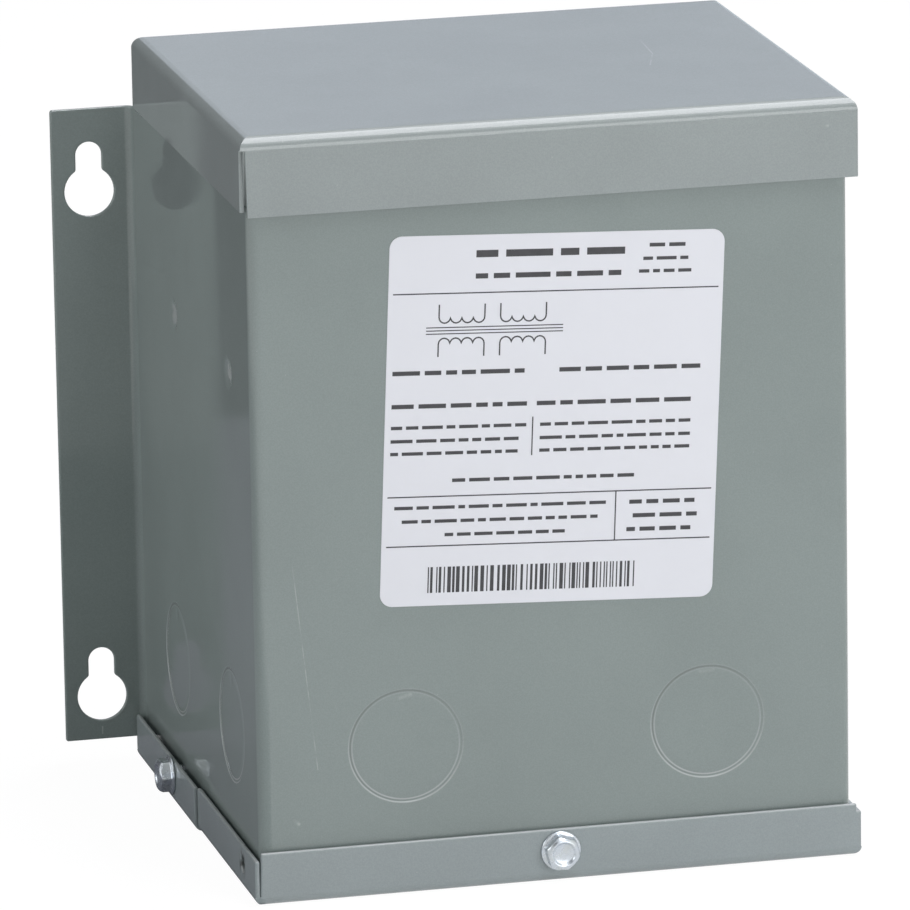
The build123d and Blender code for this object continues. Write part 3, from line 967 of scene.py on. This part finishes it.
class TRANSFORMER_OT_stage(bpy.types.Operator):
    """Sets up the floor, the surroundings, the lamps and the camera"""
    bl_idname = "transformer.stage"
    bl_label = "Studio stage"

    def execute(self, context):
        stage = context.scene.transformer_stage
        context.scene.view_settings.view_transform = "Standard"
        self.surroundings(context.scene, stage)
        self.floor(stage)
        for name, finish, corners in CARDS:
            self.card(name, corners, finish)
        middle, below = (0.0, 0.0, 0.1), (0.355, -0.20, 0.0)
        self.lamp("key_lamp", (0.42, -0.95, 0.28), middle, (0.75, 0.5), stage.key_power, (0.98, 0.985, 1.0))
        self.lamp("top_lamp", (0.355, -0.20, 1.70), below, (0.5, 1.7), stage.top_power, (0.96, 0.96, 1.0))
        self.lamp("fill_lamp", (-1.9, -0.45, 0.8), middle, (0.8, 0.8), stage.fill_power, (0.97, 0.98, 1.0))
        self.camera(context.scene, stage)
        return {"FINISHED"}

    def seen_directly(self, tree):
        """A mask of the rays that show the stage itself: from the camera, off gloss and through glass."""
        path = tree.nodes.new("ShaderNodeLightPath")
        shown = maths(tree, "MAXIMUM", path.outputs["Is Camera Ray"], path.outputs["Is Glossy Ray"])
        return maths(tree, "MAXIMUM", shown, path.outputs["Is Transmission Ray"])

    def surroundings(self, scene, stage):
        """White all round where it is seen, and an even weak light elsewhere."""
        world = bpy.data.worlds.new("studio_white")
        world.use_nodes = True
        tree = world.node_tree
        tree.nodes.clear()
        white = node(tree, "ShaderNodeBackground", {"Color": (1.0, 1.0, 1.0), "Strength": 1.0})
        light = node(tree, "ShaderNodeBackground", {"Color": (0.97, 0.985, 1.0), "Strength": stage.ambient})
        mix = node(tree, "ShaderNodeMixShader")
        for socket, value in zip(mix.inputs, (self.seen_directly(tree), light.outputs[0], white.outputs[0])):
            tree.links.new(value, socket)
        node(tree, "ShaderNodeOutputWorld", {"Surface": mix.outputs[0]})
        scene.world = world

    def floor(self, stage):
        """A wide pale floor that is seen almost white and keeps a faint shadow."""
        half = stage.floor_size / 2
        floor = self.sheet_of("studio_floor", rectangle((-half, -half, FLOOR_LEVEL), (half, half, FLOOR_LEVEL)))
        material, tree, shader, position = new_material("pale_floor")
        pale = mixed(tree, mottle(tree, position, 0.4), shade(stage.floor_colour, 0.99), stage.floor_colour)
        shown = self.seen_directly(tree)
        feed_all(tree, shader, {
            "Base Color": mixed(tree, shown, pale, (stage.floor_shade,) * 3), "Roughness": 0.9,
            "Emission Color": mixed(tree, shown, (0.0, 0.0, 0.0), (stage.floor_white,) * 3),
            "Emission Strength": 1.0, "Specular IOR Level": 0.0})
        floor.data.materials.append(material)

    def card(self, name, corners, finish):
        """A card that only shows in glossy paint and metal."""
        card = self.sheet_of(name, corners)
        for ray in ("camera", "diffuse", "transmission", "volume_scatter", "shadow"):
            setattr(card, f"visible_{ray}", False)
        material = bpy.data.materials.get(finish)
        if material is None:
            material, tree, shader, position = new_material(finish)
            *colours, glow = CARD_FINISHES[finish]
            colour = mixed(tree, mottle(tree, position, 0.2), *colours)
            feed_all(tree, shader, {
                "Base Color": colour, "Emission Color": colour, "Emission Strength": glow, "Roughness": 0.9})
        card.data.materials.append(material)

    def sheet_of(self, name, corners):
        """A flat stage piece through its corners."""
        mesh = bpy.data.meshes.new(name)
        mesh.from_pydata(corners, [], [range(len(corners))])
        piece = new_object(name, mesh)
        return piece

    def lamp(self, name, place, target, size, power, colour):
        """A soft rectangular lamp aimed at a point."""
        light = bpy.data.lights.new(name, "AREA")
        light.shape = "RECTANGLE"
        light.size, light.size_y = size
        light.energy = power
        light.color = colour
        lamp = new_object(name, light)
        lamp.location = place
        aim = Vector(target) - Vector(place)
        lamp.rotation_euler = aim.to_track_quat("-Z", "Y").to_euler()

    def camera(self, scene, stage):
        """A long lens from the left and above, as in the photograph."""
        lens = bpy.data.cameras.new("camera")
        lens.sensor_width = 36.0
        lens.lens = stage.lens
        camera = new_object("camera", lens)
        camera.location = stage.camera_place
        camera.rotation_euler = stage.camera_turn
        scene.camera = camera


STEPS = (TRANSFORMER_OT_sheets, TRANSFORMER_OT_knockouts, TRANSFORMER_OT_screws, TRANSFORMER_OT_label,
         TRANSFORMER_OT_core, TRANSFORMER_OT_stage)
SETTINGS = {
    "transformer_sheets": SheetSettings, "transformer_paint": PaintSettings,
    "transformer_knockouts": KnockoutSettings, "transformer_screws": ScrewSettings,
    "transformer_label": LabelSettings, "transformer_core": CoreSettings, "transformer_stage": StageSettings,
}


class TRANSFORMER_PT_pieces(bpy.types.Panel):
    """The pieces of the transformer and its stage"""
    bl_idname = "TRANSFORMER_PT_pieces"
    bl_label = "Transformer"
    bl_space_type = "VIEW_3D"
    bl_region_type = "UI"
    bl_category = "Transformer"

    def draw(self, context):
        for step in STEPS:
            self.layout.operator(step.bl_idname)
        for name, group in SETTINGS.items():
            box = self.layout.box()
            box.label(text=group.__doc__)
            for value in group.__annotations__:
                box.prop(getattr(context.scene, name), value)


def register():
    for group in (*SETTINGS.values(), *STEPS, TRANSFORMER_PT_pieces):
        bpy.utils.register_class(group)
    for name, group in SETTINGS.items():
        setattr(bpy.types.Scene, name, PointerProperty(type=group))


def unregister():
    for name in SETTINGS:
        delattr(bpy.types.Scene, name)
    for group in reversed((*SETTINGS.values(), *STEPS, TRANSFORMER_PT_pieces)):
        bpy.utils.unregister_class(group)


def main():
    register()
    bpy.ops.transformer.sheets()
    bpy.ops.transformer.knockouts()
    bpy.ops.transformer.screws()
    bpy.ops.transformer.label()
    bpy.ops.transformer.core()
    bpy.ops.transformer.stage()


if __name__ == "__main__":
    main()
